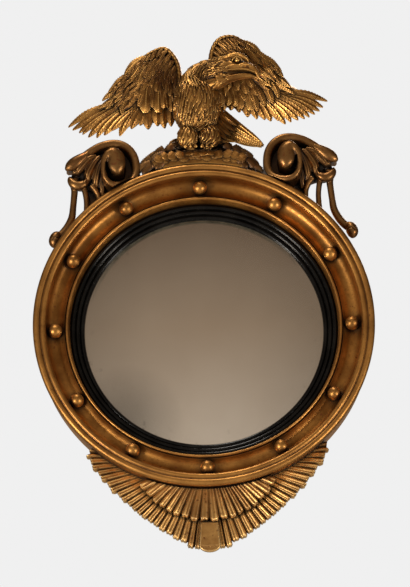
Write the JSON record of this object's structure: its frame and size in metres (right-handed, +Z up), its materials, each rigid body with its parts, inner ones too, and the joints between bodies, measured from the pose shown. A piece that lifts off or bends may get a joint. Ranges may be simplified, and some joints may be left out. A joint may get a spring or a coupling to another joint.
{
  "type": "girandole mirror",
  "caption": "Round convex wall mirror in a turned and gilded frame with balls in its cove, an eagle crest, acanthus scrolls and a fluted shell apron.",
  "frame": {"origin": "centre of the backboard's rear face, on the wall plane", "axes": "+Z up, the mirror faces -Y, +X to the right as seen from the front"},
  "size_m": [0.5598, 0.1107, 0.8953],
  "materials": {
    "turned_gilding": "worn water gilding, satin",
    "carved_gilding": "carved and gilded, toned",
    "ebonised_wood": "ebonised, polished",
    "mirror_glass": "aged silvered convex glass",
    "bare_wood": "unfinished old pine",
    "dark_steel": "darkened iron"
  },
  "bodies": {
    "frame": {"frame_ring": "turned_gilding", "sight_moulding": "turned_gilding", "ball_01": "turned_gilding", "ball_02": "turned_gilding", "ball_03": "turned_gilding", "ball_04": "turned_gilding", "ball_05": "turned_gilding", "ball_06": "turned_gilding", "ball_07": "turned_gilding", "ball_08": "turned_gilding", "ball_09": "turned_gilding", "ball_10": "turned_gilding", "ball_11": "turned_gilding", "ball_12": "turned_gilding", "plinth_band": "carved_gilding", "rock": "carved_gilding", "eagle_body": "carved_gilding", "eagle_head": "carved_gilding", "eagle_leg_left": "carved_gilding", "eagle_leg_right": "carved_gilding", "eagle_tail": "carved_gilding", "eagle_wing_left": "carved_gilding", "eagle_wing_right": "carved_gilding", "scroll_left": "carved_gilding", "acanthus_left": "carved_gilding", "scroll_right": "carved_gilding", "acanthus_right": "carved_gilding", "apron_lower_shell": "carved_gilding", "apron_upper_shell": "carved_gilding", "apron_tab": "carved_gilding", "ebonised_slip": "ebonised_wood", "convex_glass": "mirror_glass", "backboard": "bare_wood", "crest_batten": "bare_wood", "apron_batten": "bare_wood", "glazing_block_1": "bare_wood", "glazing_block_2": "bare_wood", "glazing_block_3": "bare_wood", "glazing_block_4": "bare_wood", "glazing_block_5": "bare_wood", "glazing_block_6": "bare_wood", "hanger_strap": "dark_steel", "strap_screw_1": "dark_steel", "strap_screw_2": "dark_steel", "crest_batten_screw_left": "dark_steel", "crest_batten_screw_right": "dark_steel", "apron_batten_screw_left": "dark_steel", "apron_batten_screw_right": "dark_steel", "backboard_screw_1": "dark_steel", "backboard_screw_2": "dark_steel", "backboard_screw_3": "dark_steel", "backboard_screw_4": "dark_steel", "backboard_screw_5": "dark_steel", "backboard_screw_6": "dark_steel"},
    "ring": {"hanging_ring": "dark_steel"}
  },
  "joints": [
    {"name": "hanging_ring_swing", "type": "hinge", "parent": "frame", "child": "ring", "pos_m": [0, -0.0058, 0.30597], "axis": [1, 0, 0], "range_deg": [0, 180]}
  ]
}
